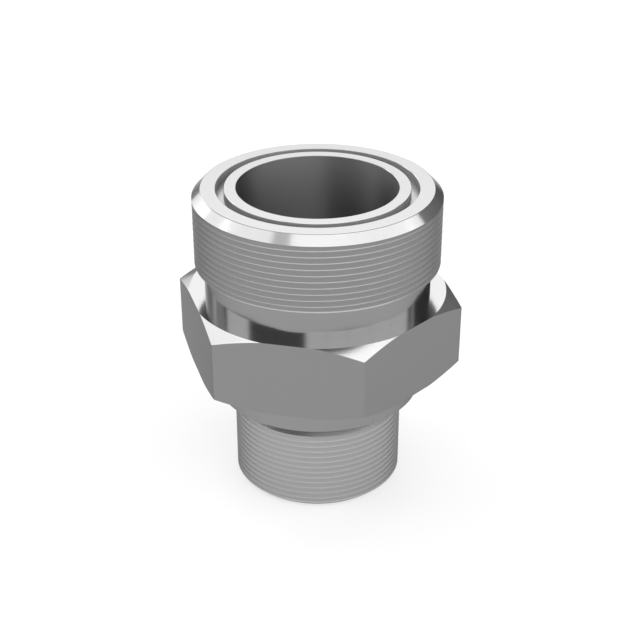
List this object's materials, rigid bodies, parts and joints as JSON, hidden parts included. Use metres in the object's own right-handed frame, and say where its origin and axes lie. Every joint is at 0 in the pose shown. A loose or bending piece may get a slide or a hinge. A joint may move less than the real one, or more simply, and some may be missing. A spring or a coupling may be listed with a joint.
{
  "type": "straight hydraulic adapter fitting",
  "caption": "Straight male adapter fitting: a large threaded end that seals on its grooved face, a wrench hexagon, and a smaller threaded stud end, with a stepped bore through.",
  "frame": {"origin": "centre of the stud's end face, on which the fitting stands", "axes": "+Z along the bore axis, from the stud end up to the face-seal end; two corners of the hexagon point along +X and -X"},
  "size_m": [0.0606, 0.0524, 0.0659],
  "materials": {
    "plated_steel": "machined steel with a thin clear-passivated plating, satin to bright"
  },
  "bodies": {
    "root": {"adapter_body": "plated_steel"}
  },
  "joints": []
}
